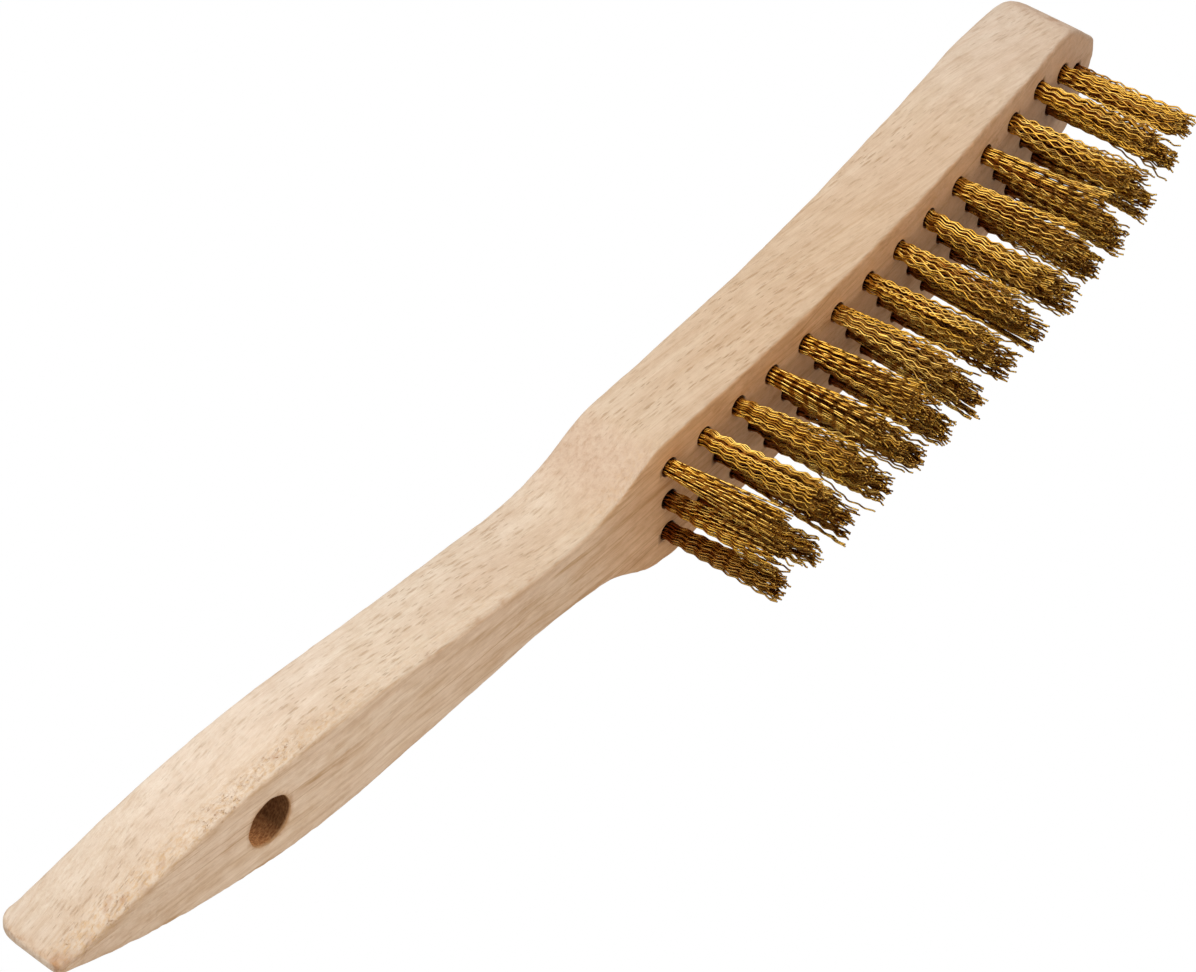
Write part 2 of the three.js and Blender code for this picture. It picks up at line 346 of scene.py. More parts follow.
    # growth-ring lines: contours of a slow field that is long along the fibres
    field = k.noise(k.mapping(g, loc=(1.7, 0.4, 3.3), scale=(0.0060, 0.22, 0.10)), 1.0, 1.5, 0.45)
    ring = k.math("FRACT", k.math("MULTIPLY", field, 7.0))
    wobble = k.math("MULTIPLY", k.math("SUBTRACT", k.noise(k.mapping(g, scale=(0.12, 0.9, 0.9)), 1.0, 3.0, 0.6), 0.5), 0.30)
    line = k.remap(k.math("ABSOLUTE", k.math("ADD", k.math("SUBTRACT", ring, 0.5), wobble)), 0.13, 0.01)
    faint = k.remap(k.noise(k.mapping(g, scale=(0.02, 0.2, 0.2)), 1.0, 2.0), 0.40, 0.60, 0.10, 1.0)
    line = k.math("MULTIPLY", k.math("MULTIPLY", line, faint), k.remap(flat, 0.0, 1.0, 0.16, 0.75))
    col = k.mix(line, col, (0.53, 0.325, 0.15))
    streak2 = k.noise(k.mapping(g, loc=(5, 2, 9), scale=(0.10, 2.6, 0.5)), 1.0, 4.0, 0.6)
    col = k.mix(k.math("MULTIPLY", k.math("MULTIPLY", k.remap(streak2, 0.55, 0.75), flat), 0.22), col, (0.50, 0.32, 0.19))

    below = k.math("MULTIPLY", flat, k.remap(nrm.outputs["Z"], 0.3, -0.3))
    col = k.mix(below, col, (1.07, 0.975, 0.885), blend="MULTIPLY")
    above = k.math("MULTIPLY", flat, k.remap(nrm.outputs["Z"], -0.3, 0.3))
    col = k.mix(above, col, (1.01, 0.985, 0.955), blend="MULTIPLY")
    under = k.math("MULTIPLY", k.remap(nrm.outputs["Z"], -0.5, -0.9), k.remap(sx.outputs[0], -22.0, 6.0))
    col = k.mix(under, col, (0.94, 0.755, 0.565), blend="MULTIPLY")
    col = k.mix(k.math("MULTIPLY", under, k.remap(sx.outputs[0], 8.0, 26.0)), col, (1.0, 1.06, 1.16), blend="MULTIPLY")

    # mottling and, on the sides, cross-grain ripple that catches the light
    side_face = k.math("SUBTRACT", 1.0, flat)
    mott = k.noise(k.mapping(g, loc=(8, 3, 5), scale=(0.22, 0.42, 0.42)), 1.0, 4.0, 0.68)
    col = k.mix(k.remap(mott, 0.50, 0.68, 0.0, 0.95), col, (0.925, 0.895, 0.86), blend="MULTIPLY")
    col = k.mix(k.remap(mott, 0.50, 0.32, 0.0, 1.0), col, (1.055, 1.07, 1.09), blend="MULTIPLY")
    patchy = k.noise(k.mapping(g, loc=(3, 9, 4), scale=(0.10, 0.36, 0.36)), 1.0, 4.0, 0.66)
    lower = k.remap(nrm.outputs["Z"], -0.45, -0.85)
    col = k.mix(k.math("MULTIPLY", lower, k.remap(patchy, 0.50, 0.66, 0.0, 0.85)), col, (0.90, 0.84, 0.76), blend="MULTIPLY")
    col = k.mix(k.math("MULTIPLY", lower, k.remap(patchy, 0.50, 0.36, 0.0, 0.85)), col, (1.06, 1.08, 1.11), blend="MULTIPLY")
    ripple = k.noise(k.mapping(g, loc=(2, 6, 1), scale=(0.75, 0.10, 0.13)), 1.0, 2.0, 0.5)
    where = k.remap(k.noise(k.mapping(g, loc=(6, 1, 2), scale=(0.035, 0.09, 0.09)), 1.0, 1.0), 0.48, 0.60)
    ripple = k.math("MULTIPLY", k.math("MULTIPLY", k.remap(ripple, 0.52, 0.62), where), side_face)
    ripple = k.math("MULTIPLY", ripple, k.remap(sx.outputs[0], -50.0, -80.0))
    col = k.mix(k.math("MULTIPLY", ripple, 0.14), col, (0.90, 0.79, 0.665))
    # the cut edge of the tufted face is a little browner
    edge = k.add("ShaderNodeAttribute", attribute_name="edge").outputs["Fac"]
    ragged = k.remap(k.noise(k.mapping(g, scale=(0.35, 1.2, 1.2)), 1.0, 4.0, 0.7), 0.40, 0.60, 0.05, 1.25)
    col = k.mix(k.math("MULTIPLY", edge, ragged), col, (0.505, 0.27, 0.12))

    # end grain: on the sloping neck and the nose the fibres come out at an angle and look rougher and pinker
    fibres = (math.cos(tilt), 0.0, math.sin(tilt))
    end = k.math("ABSOLUTE", k.vmath("DOT_PRODUCT", geo.outputs["Normal"], fibres, out=1))
    ends = k.remap(end, 0.14, 0.44)
    pores = k.noise(k.mapping(g, scale=(0.75, 1.2, 1.2)), 1.0, 4.0, 0.72)
    pink = k.math("MULTIPLY", ends, k.remap(sx.outputs[0], -42.0, -30.0))
    col = k.mix(k.math("MULTIPLY", pink, 0.65), col, (0.72, 0.515, 0.375))
    col = k.mix(k.math("MULTIPLY", k.math("MULTIPLY", ends, k.remap(pores, 0.50, 0.64)), 0.62), col, (0.60, 0.39, 0.25))
    col = k.mix(k.math("MULTIPLY", k.math("MULTIPLY", ends, k.remap(pores, 0.46, 0.34)), 0.55), col, (0.84, 0.665, 0.50))

    # worn spots and torn fibres painted along the long edges (vertex data)
    torn = k.add("ShaderNodeAttribute", attribute_name="torn").outputs["Fac"]
    speck = k.noise(k.mapping(g, scale=(0.30, 0.62, 0.62)), 1.0, 4.0, 0.62, dist=0.6)
    crack = k.remap(k.math("ABSOLUTE", k.math("SUBTRACT", speck, 0.5)), 0.035, 0.006)
    fuzz_spots = k.noise(k.mapping(g, scale=(0.9, 1.7, 1.7)), 1.0, 3.0, 0.65)
    dots = k.remap(k.noise(k.mapping(g, loc=(4, 4, 4), scale=(1.1, 1.6, 1.6)), 1.0, 2.0, 0.6), 0.55, 0.66)
    crack = k.math("MULTIPLY", crack, k.math("ADD", k.math("MULTIPLY", dots, 0.75), 0.25))
    some = k.remap(k.noise(k.mapping(g, scale=(0.16, 0.3, 0.3)), 1.0, 2.0), 0.44, 0.58)
    torn_mask = k.math("MULTIPLY", k.math("MULTIPLY", torn, crack), some)
    col = k.mix(k.math("MULTIPLY", k.math("MULTIPLY", torn, k.remap(fuzz_spots, 0.47, 0.64)), 0.70), col, srgb(222, 184, 138))
    col = k.mix(k.math("MULTIPLY", torn_mask, 0.85), col, srgb(176, 120, 66))
    spot = k.add("ShaderNodeAttribute", attribute_name="spot").outputs["Fac"]
    col = k.mix(k.math("MULTIPLY", spot, 0.80), col, srgb(178, 118, 66))

    # the wood is darker and browner around the hanging hole
    rim = k.add("ShaderNodeAttribute", attribute_name="rim").outputs["Fac"]
    rim_darkening = k.math("MULTIPLY", rim, k.remap(k.noise(mm, 0.8, 3.0, 0.6), 0.38, 0.62, 0.25, 1.0))
    col = k.mix(k.math("MULTIPLY", rim_darkening, 0.7), col, (0.80, 0.62, 0.45), blend="MULTIPLY")
    col = k.mix(k.math("MULTIPLY", rim, side_face), col, (0.95, 0.76, 0.56), blend="MULTIPLY")

    # drilled walls are darker brown and full of open pores: partly their own colour, partly painted shade inside the
    # holes
    bore = k.add("ShaderNodeAttribute", attribute_name="bore").outputs["Fac"]
    bore_noise = k.noise(k.mapping(mm, scale=(1.0, 1.0, 2.5)), 1.3, 3.0, 0.6)
    bore_tone_and_shade = k.mix(k.remap(bore_noise, 0.35, 0.7), srgb(134, 86, 52), srgb(188, 137, 90))
    # painted light and shade on the drilled walls: brighter where a wall faces a fixed light direction, darker where it
    # faces away
    painted_light = k.remap(k.vmath("DOT_PRODUCT", geo.outputs["Normal"], (0.75, -0.60, 0.25), out=1), 0.0, 0.90, 0.55, 2.25)
    painted_light_rgb = k.add("ShaderNodeCombineXYZ")
    for i in range(3):
        k.link(painted_light, painted_light_rgb.inputs[i])
    col = k.mix(bore, col, k.vmath("MULTIPLY", bore_tone_and_shade, painted_light_rgb.outputs[0]))
    k.put(k.p.inputs["Base Color"], col)

    rough = k.remap(fibre, 0.3, 0.75, 0.52, 0.70)
    rough = k.math("ADD", rough, k.math("MULTIPLY", flecks, 0.12), clamp=True)
    k.put(k.p.inputs["Roughness"], rough)
    k.p.inputs["IOR"].default_value = 1.46
    k.put(k.p.inputs["Specular IOR Level"], k.remap(rim, 0.0, 1.0, 0.32, 0.0))

    # height in metres: fibres, sunk flecks, fuzz and sanding marks
    h = k.math("MULTIPLY", fibre, 0.9)
    h = k.math("SUBTRACT", h, k.math("MULTIPLY", flecks, 0.9))
    fuzz = k.noise(mm, 3.2, 4.0, 0.75)
    h = k.math("ADD", h, k.math("MULTIPLY", fuzz, 0.55))
    h = k.math("ADD", h, k.math("MULTIPLY", k.math("MULTIPLY", ends, pores), 2.2))
    h = k.math("SUBTRACT", h, k.math("MULTIPLY", torn_mask, 1.6))
    k.put(k.p.inputs["Normal"], k.bump(h, 0.75, 0.00013))
    return k.m


# ---- brass-coated crimped wire --------------------------------------------------------------------------
def brass():
    k = Mat("brass_wire")
    co = k.add("ShaderNodeTexCoord").outputs["Object"]
    mm = k.vmath("SCALE", co)
    mm.node.inputs["Scale"].default_value = 1000.0
    wire = k.add("ShaderNodeAttribute", attribute_name="wire").outputs["Fac"]  # one random number per wire
    along = k.add("ShaderNodeAttribute", attribute_name="along").outputs["Fac"]  # 0 at the face, 1 at the tip
    tone = k.noise(mm, 0.35, 2.0, 0.5)
    bright = (0.88, 0.61, 0.165)
    mid = (0.66, 0.375, 0.052)
    tarnish = (0.25, 0.096, 0.004)
    col = k.mix(k.remap(wire, 0.1, 0.9), mid, bright)
    col = k.mix(k.math("MULTIPLY", k.remap(tone, 0.45, 0.75), 0.55), col, mid)
    spots = k.noise(mm, 2.4, 3.0, 0.6)
    col = k.mix(k.math("MULTIPLY", k.remap(spots, 0.56, 0.74), 0.55), col, tarnish)
    dull = k.remap(wire, 0.93, 0.97)
    col = k.mix(k.math("MULTIPLY", dull, 0.6), col, tarnish)
    # the wires are darker towards the tips
    tip = k.remap(along, 0.55, 1.0)
    col = k.mix(k.math("MULTIPLY", tip, 0.22), col, tarnish)
    # painted shade: the hollows between the wires and, on the inner rows, the wires close to the wood are darkened,
    # less so towards the tips
    deep = k.add("ShaderNodeAttribute", attribute_name="deep").outputs["Fac"]
    open_ = k.remap(along, 0.45, 1.0, 0.92, 0.55)
    col = k.mix(k.math("MULTIPLY", k.remap(deep, 0.02, 0.30), open_), col, (0.22, 0.058, 0.005), blend="MULTIPLY")
    k.put(k.p.inputs["Base Color"], col)
    k.p.inputs["Metallic"].default_value = 1.0
    draw = k.noise(k.mapping(mm, scale=(6.0, 6.0, 1.0)), 1.0, 2.0, 0.6)
    rough = k.math("ADD", k.remap(draw, 0.3, 0.7, 0.18, 0.28), k.math("MULTIPLY", k.remap(spots, 0.5, 0.75), 0.14))
    rough = k.math("ADD", rough, k.math("MULTIPLY", tip, 0.06))
    k.put(k.p.inputs["Roughness"], rough)
    k.put(k.p.inputs["Normal"], k.bump(k.noise(k.mapping(mm, scale=(9.0, 9.0, 2.0)), 1.0, 3.0, 0.6), 0.35, 0.00003))
    return k.m


BEECH = beech()
BRASS = brass()


# ---- the stock ------------------------------------------------------------------------------------------
def half_width(x):
    """Smooth curve through the outline: monotone cubic."""
    X, Y = OUTLINE[:, 0], OUTLINE[:, 1]
    h = np.diff(X)
    d = np.diff(Y) / h
    m = np.zeros(len(X))
    for i in range(1, len(X) - 1):
        if d[i - 1] * d[i] > 0:
            w1, w2 = 2 * h[i] + h[i - 1], h[i] + 2 * h[i - 1]
            m[i] = (w1 + w2) / (w1 / d[i - 1] + w2 / d[i])
    m[0], m[-1] = d[0], d[-1]
    i = np.clip(np.searchsorted(X, x) - 1, 0, len(h) - 1)
    t = (x - X[i]) / h[i]
    return (
        Y[i] * (1 + 2 * t) * (1 - t) ** 2 + m[i] * h[i] * t * (1 - t) ** 2
        + Y[i + 1] * t**2 * (3 - 2 * t) + m[i + 1] * h[i] * t**2 * (t - 1)
    )


EDGE_STEPS, SIDE_STEPS, FLAT_STEPS = 6, 16, 28


def section(x):
    """One closed loop of the stock at station x: (y, h) pairs, in millimetres, with rounded edges."""
    half = float(half_width(np.array([x]))[0])
    # the far side of the shoulder starts a little nearer the handle
    far = float(half_width(np.array([x + 2.0 * math.exp(-(((x + 6.0) / 7.0) ** 2))]))[0])
    far += float(np.interp(x, FAR_TRIM[:, 0], FAR_TRIM[:, 1]))
    lean = float(np.interp(x, LEAN[:, 0], LEAN[:, 1]))
    thin = float(np.interp(x, TOP_TRIM[:, 0], TOP_TRIM[:, 1]))
    low_far = float(np.interp(x, LOW_TRIM[:, 0], LOW_TRIM[:, 1]))
    tail, head = x - TAIL_X, HEAD_X - x

    def off(d, r):
        return r * (1 - math.sqrt(max(0.0, 1 - (1 - min(d, r) / r) ** 2)))

    top_off = off(tail, 4.8) * 1.0 + off(head, 6.0) * 0.8
    low_off = off(tail, 1.2) * 0.8 + off(head, 1.1) * 0.5
    lo, hi = low_off, THICKNESS - thin - top_off
    vary = 0.10 * math.sin(x * 0.21) + 0.08 * math.sin(x * 0.47 + 2)
    r_low = min(0.85 + 0.8 * vary, half * 0.72, (hi - lo) * 0.4)
    r_top = min(1.40 + vary + 3.4 * min(1.0, max(0.0, (x - 111.0) / 18.0)) ** 1.4, half * 0.72, (hi - lo) * 0.4)
    pts = []
    corners = [(-half, lo, 180), (far, lo, 270), (far, hi, 0), (-half, hi, 90)]
    sides = [FLAT_STEPS, SIDE_STEPS, FLAT_STEPS, SIDE_STEPS]
    arcs = []
    for cy, ch, a0 in corners:
        r = r_low if ch == lo else r_top
        oy, oh = cy + (r if cy < 0 else -r), ch + (r if ch == lo else -r)
        arcs.append([
            (oy + r * math.cos(math.radians(a0 + 90 * s / EDGE_STEPS)), oh + r * math.sin(math.radians(a0 + 90 * s / EDGE_STEPS)))
            for s in range(EDGE_STEPS + 1)
        ])
    for c in range(4):
        pts += arcs[c]
        a, b = arcs[c][-1], arcs[(c + 1) % 4][0]
        for s in range(1, sides[c]):
            t = s / sides[c]
            pts.append((a[0] * (1 - t) + b[0] * t, a[1] * (1 - t) + b[1] * t))
    pts = np.array(pts)
    low = np.clip((hi - pts[:, 1]) / (hi - lo), 0, 1) ** 2
    pts[:, 1] += low_far * low * (0.5 + 0.5 * pts[:, 0] / half)
    pts[:, 0] += lean
    return pts


def stations():
    xs = [TAIL_X]
    while xs[-1] < HEAD_X:
        d = min(xs[-1] - TAIL_X, HEAD_X - xs[-1])
        xs.append(xs[-1] + float(np.clip(0.10 + d * 0.20, 0.10, 1.05)))
    xs = np.array(xs)
    return TAIL_X + (xs - TAIL_X) * (HEAD_X - TAIL_X) / (xs[-1] - TAIL_X)


# places where fibres are torn out along the near lower edge and a few dents: (x, y side, h, radius, depth, spot)
CHIPS = [
    (-150.7, -1, 1.3, 1.5, 0.05, 0.62), (130.6, -1, 4.8, 0.9, 0.03, 0.75), (-149.4, -1, 0.8, 0.9, 0.05, 0.5), (-143.5, -1, 0.9, 0.8, 0.10, 0.3),
    (-138.0, -1, 2.6, 0.6, 0.10, 0.7), (-136.6, -1, 3.6, 0.5, 0.08, 0.6), (-134.9, -1, 1.9, 0.6, 0.10, 0.7),
    (-131.0, -1, 0.9, 0.8, 0.08, 0.3), (-126.0, -1, 1.6, 0.7, 0.08, 0.4), (-120.5, -1, 1.2, 0.8, 0.10, 0.3),
    (-113.0, -1, 2.2, 0.6, 0.08, 0.4), (-98.0, -1, 2.6, 0.6, 0.08, 0.4), (-87.5, -1, 3.2, 0.5, 0.06, 0.4),
    (-62.6, -1, 0.7, 0.6, 0.10, 0.6), (-60.2, -1, 0.4, 0.5, 0.08, 0.6), (-50.2, -1, 0.5, 0.5, 0.08, 0.5),
    (-43.3, -1, 0.7, 0.5, 0.10, 0.7), (-35.8, -1, 1.0, 0.6, 0.10, 0.9), (36.0, -1, 3.4, 0.6, 0.05, 0.3),
    (27.0, -1, 0.6, 0.8, 0.08, 0.3), (48.5, -1, 0.7, 0.6, 0.06, 0.3), (-77.0, 1, 0.9, 1.0, 0.12, 0.4),
    (-120.0, 1, 0.7, 1.0, 0.12, 0.4), (12.0, 1, 0.8, 0.9, 0.12, 0.4), (84.0, 1, 0.6, 0.9, 0.12, 0.4),
    (-52.0, 1, 16.3, 0.8, 0.10, 0.3), (60.0, -1, 16.4, 0.8, 0.10, 0.3),
]


def build_stock():
    xs = stations()
    loops = [section(x) for x in xs]
    per = len(loops[0])
    P, N = [], []
    for x, loop in zip(xs, loops):
        P.append(on_arch(np.full(per, x), loop[:, 0], loop[:, 1]))
        c = np.array([0.0, THICKNESS / 2])
        N.append(np.stack([np.full(per, x), loop[:, 0], loop[:, 1]], -1))
    P, Q = np.concatenate(P), np.concatenate(N)
    # small unevenness of hand sanding, and the chips
    loc = Q.copy()
    half = half_width(loc[:, 0])
    ny = np.clip((np.abs(loc[:, 1]) - (half - 1.5)) / 1.5, 0, 1) * np.sign(loc[:, 1])
    nh = np.clip((np.abs(loc[:, 2] - 8.5) - 7.0) / 1.5, 0, 1) * np.sign(loc[:, 2] - 8.5)
    nn = np.stack([0 * ny, ny, nh], -1)
    nn /= np.maximum(np.linalg.norm(nn, axis=1, keepdims=True), 1e-6)
    wave = 0.07 * value_noise(loc, 3, 14.0) + 0.03 * value_noise(loc * np.array([1, 1.6, 1.6]), 5, 3.2)
    edge = np.abs(ny * nh)
    wave -= 0.22 * edge * np.clip(value_noise(loc, 9, 2.2) + 0.10, 0, 1) + 0.14 * edge * np.clip(value_noise(loc, 10, 0.9), 0, 1)
    torn = np.zeros(len(loc))
    spot = np.zeros(len(loc))
    for x, side, h, r, depth, dark in CHIPS:
        cy = side * float(half_width(np.array([x]))[0]) + float(np.interp(x, LEAN[:, 0], LEAN[:, 1]))
        if h < 1.5 or h > 15.5:
            cy -= side * 0.4
        d = np.sqrt(((loc[:, 0] - x) / 1.5) ** 2 + (loc[:, 1] - cy) ** 2 + (loc[:, 2] - h) ** 2) / (r * 1.3)
        k = np.clip(1 - d, 0, 1) ** 0.7
        k *= np.clip(0.8 + 0.6 * value_noise(loc, 21, 0.8), 0, 1.3)
        wave -= depth * k
        spot = np.maximum(spot, dark * np.clip(k * 1.5, 0, 1))
    # fibres lifted along the edges of the handle: strongest on the tail's lower near edge
    near_low = np.exp(-(((np.abs(loc[:, 1]) - half) / 1.6) ** 2) - ((loc[:, 2] - 1.8) / 2.6) ** 2)
    along = smooth(-loc[:, 0], 70, 100) * 0.9 + 0.35 * smooth(-loc[:, 0], 20, 40)
    along = np.maximum(along, 0.55 * np.exp(-(((loc[:, 0] + 12) / 12) ** 2)))
    along *= 1 + 0.45 * np.exp(-(((loc[:, 0] + 140) / 12) ** 2))
    torn = np.clip(near_low * along * np.where(loc[:, 1] < 0, 1.0, 0.7), 0, 1)
    inside = half - np.abs(loc[:, 1])
    browned = np.exp(-(((inside - 0.8) / 0.75) ** 2) - (np.clip(loc[:, 2] - 0.25, 0, None) / 0.30) ** 2)
    browned *= 0.12 + 0.16 * smooth(loc[:, 0], -18, 2) + 0.30 * smooth(loc[:, 0], 70, 112)
    browned += 0.42 * np.exp(-(((loc[:, 0] - TAIL_X) / 0.9) ** 2))
    wave += 0.06 * torn * value_noise(loc, 31, 0.9)
    wave -= 0.16 * edge * np.clip(value_noise(loc * np.array([1.0, 1.5, 1.5]), 33, 1.3), 0, 1) * np.exp(-((loc[:, 2] / 2.0) ** 2))
    m = slope(loc[:, 0])
    n = np.hypot(1, m)
    world_n = np.stack([-nn[:, 2] * m / n, nn[:, 1], nn[:, 2] / n], -1)
    P = P + world_n * wave[:, None]

    verts = to_row(P)
    k = np.arange(per)
    k2 = (k + 1) % per
    quads = []
    for i in range(len(xs) - 1):
        a, b = i * per, (i + 1) * per
        quads.append(np.stack([a + k, b + k, b + k2, a + k2], -1))
    quads = np.concatenate(quads)[:, ::-1]
    # end caps: rings that shrink onto a line, so the ends are gently crowned rather than one big face
    vs, extra = [verts], []
    base = len(verts)
    for end, sign in ((0, -1), (len(xs) - 1, 1)):
        ring = np.arange(end * per, (end + 1) * per)
        pts = verts[ring]
        centre = pts.mean(0)
        prev = ring
        for s, bulge in ((0.85, 0.25), (0.6, 0.42), (0.35, 0.5), (0.12, 0.52)):
            q = centre + (pts - centre) * s
            q[:, 0] += sign * bulge * MM * 0.6
            vs.append(q)
            new = base + np.arange(per)
            base += per
            f = np.stack([prev[k], new[k], new[k2], prev[k2]], -1)
            extra.append(f[:, ::-1] if sign > 0 else f)
            prev = new
        vs.append((centre + np.array([sign * 0.52 * MM * 0.6, 0, 0]))[None])
        c = np.full(per, base)
        base += 1
        f = np.stack([prev[k], c, prev[k2]], -1)
        extra.append((f[:, ::-1] if sign > 0 else f, "tri"))
    verts = np.concatenate(vs)
    faces = [tuple(q) for q in quads]
    for e in extra:
        faces += [tuple(q) for q in (e[0] if isinstance(e, tuple) else e)]
    ob = mesh_object("beech_stock", verts, faces, BEECH)
    me = ob.data
    rise = np.clip(loc[:, 2] / THICKNESS, 0, 1)
    for name, data in (("torn", torn), ("spot", spot), ("edge", browned), ("rise", rise)):
        full = np.zeros(len(verts), np.float32)
        full[: len(data)] = data
        me.attributes.new(name, "FLOAT", "POINT").data.foreach_set("value", full)
    return ob


TUFTS = []
for c in range(1, COLUMNS + 1):
    nose = c == COLUMNS
    x = (c - 1) * PITCH - (0.5 if nose else 0)
    y = 4.2 if nose else ROW
    TUFTS.append((f"near_{c:02d}", x, -y, nose))
    TUFTS.append((f"far_{c:02d}", x, y, nose))
for c in range(1, COLUMNS + 1):
    TUFTS.append((f"mid_{c:02d}", 0.0 if c == 1 else (c - 0.5) * PITCH, 0.0, c >= COLUMNS - 1))


def cutter_mesh():
    """All drills in one mesh: 42 blind holes with a cone at the bottom and a broken rim, and the hanging hole."""
    verts, faces = [], []

    def lathe(centre, axis, profile, seg, seed):
        axis = np.array(axis) / np.linalg.norm(axis)
        u = np.cross(axis, [0, 1, 0])
        u /= np.linalg.norm(u)
        v = np.cross(axis, u)
        start = len(verts)
        rows = []
        for r, z, rough in profile:
            row = []
            for s in range(seg):
                a = 2 * math.pi * s / seg
                rr = r + rough * math.sin(a * 5 + seed) * math.sin(a * 3 + seed * 2.1)
                p = centre + axis * z + (u * math.cos(a) + v * math.sin(a)) * rr
                row.append(len(verts))
                verts.append(to_row(p))
            rows.append(row)
        for a, b in zip(rows[:-1], rows[1:]):
            for s in range(seg):
                t = (s + 1) % seg
                faces.append((a[s], a[t], b[t], b[s]))
        faces.append(tuple(reversed(rows[0])))
        faces.append(tuple(rows[-1]))

    for i, (name, x, y, nose) in enumerate(TUFTS):
        lathe(np.array([x, y, arch(x)]), (0, 0, 1),
              [(2.40, -1.2, 0), (2.00, -0.02, 0.05), (1.94, 0.25, 0.03), (1.93, 8.6, 0), (0.5, 9.5, 0)], 28, i)
    m = slope(HANG_X)
    lathe(np.array([HANG_X, 0, arch(HANG_X)]), (-m, 0, 1),
          [(5.9, -1.0, 0.1), (5.08, 0.02, 0.13), (4.93, 0.4, 0.08), (4.93, THICKNESS - 0.4, 0.03),
           (5.08, THICKNESS - 0.02, 0.05), (5.9, THICKNESS + 1.0, 0)], 72, 3)
    me = bpy.data.meshes.new("drills")
    me.from_pydata([tuple(v) for v in verts], [], faces)
    me.update()
    return me


def drill_stock(ob):
    me = cutter_mesh()
    import bmesh

    bm = bmesh.new()
    bm.from_mesh(me)
    bmesh.ops.recalc_face_normals(bm, faces=bm.faces)
    bm.to_mesh(me)
    bm.free()
    tool = bpy.data.objects.new("drills", me)
    bpy.context.scene.collection.objects.link(tool)
    mod = ob.modifiers.new("drill", "BOOLEAN")
    mod.operation = "DIFFERENCE"
    mod.solver = "EXACT"
    mod.object = tool
    bpy.context.view_layer.update()
    dg = bpy.context.evaluated_depsgraph_get()
    new = bpy.data.meshes.new_from_object(ob.evaluated_get(dg), preserve_all_data_layers=True, depsgraph=dg)
    ob.modifiers.clear()
    ob.data = new
    bpy.data.objects.remove(tool)
    # which corners are drilled wall: near a drill axis and not on the outside
    n = len(new.vertices)
    co = np.zeros(n * 3, np.float32)
    new.vertices.foreach_get("co", co)
    p = co.reshape(-1, 3).astype(float) / MM - np.array([SX, 0, SZ])
    bore = np.zeros(n)
    for name, x, y, nose in TUFTS:
        r = np.hypot(p[:, 0] - x, p[:, 1] - y)
        depth = p[:, 2] - arch(x)
        bore = np.maximum(bore, ((r < 2.04) & (depth > 0.12) & (depth < 9.8)).astype(float))
    m = slope(HANG_X)
    a = np.array([-m, 0, 1]) / math.hypot(1, m)
    d = p - np.array([HANG_X, 0, arch(HANG_X)])
    t = d @ a
    r = np.linalg.norm(d - t[:, None] * a, axis=1)
    bore = np.maximum(bore, ((r < 5.01) & (t > 0.2) & (t < THICKNESS - 0.2)).astype(float))
    bore = np.maximum(bore, 0.22 * ((r < 5.4) & (t > -0.4) & (t < THICKNESS + 0.4)))
    rim = np.clip((5.75 - r) / 0.5, 0, 1)
    new.attributes.new("rim", "FLOAT", "POINT").data.foreach_set("value", rim.astype(np.float32))
    att = new.attributes.get("bore") or new.attributes.new("bore", "FLOAT", "POINT")
    att.data.foreach_set("value", bore.astype(np.float32))
    new.polygons.foreach_set("use_smooth", np.ones(len(new.polygons), bool))
    new.update()
    return ob


stock = drill_stock(build_stock())
# crisp only where a drill meets the surface
stock.data.set_sharp_from_angle(angle=math.radians(42))
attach(stock, "root")
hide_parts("stock")


# ---- tufts ----------------------------------------------------------------------------------------------
FOLDED = 27  # wires in a tuft, each folded in half over the anchor
WIRE_R = 0.164
SIDES = 5
LAMBDA = 3.05
ANCHOR_Z = HOLE_DEPTH - 0.5 - 1.7


def tube(paths, radius, sides, wire_ids, alongs):
    """paths (w, n, 3) millimetres -> verts, quads, caps, per-vertex wire number and position along."""
    w, n, _ = paths.shape
    t = np.gradient(paths, axis=1)
    t /= np.linalg.norm(t, axis=2, keepdims=True)
    ref = np.zeros_like(t)
    ref[..., 1] = 1.0
    # a steady frame: the wires lie close to the XZ plane's normal only in the fold, where x is used instead
    u = np.cross(ref, t)
    bad = np.linalg.norm(u, axis=2) < 0.25
    ref[bad] = (1.0, 0, 0)
    ref = np.where(bad.any(axis=1)[:, None, None], np.array([1.0, 0, 0]), ref)
    u = np.cross(ref, t)
    u /= np.maximum(np.linalg.norm(u, axis=2, keepdims=True), 1e-9)
    v = np.cross(t, u)
    a = np.arange(sides) * 2 * np.pi / sides
    ring = paths[:, :, None] + radius * (u[:, :, None] * np.cos(a)[None, None, :, None] + v[:, :, None] * np.sin(a)[None, None, :, None])
    verts = ring.reshape(-1, 3)
    idx = np.arange(w * n * sides).reshape(w, n, sides)
    nxt = np.roll(idx, -1, axis=2)
    quads = np.stack([idx[:, :-1], nxt[:, :-1], nxt[:, 1:], idx[:, 1:]], -1).reshape(-1, 4)
    caps = np.concatenate([idx[:, 0][:, ::-1], idx[:, -1]])
    ids = np.repeat(wire_ids, n * sides)
    al = np.repeat(alongs.reshape(-1), sides)
    return verts, quads, caps, ids, al


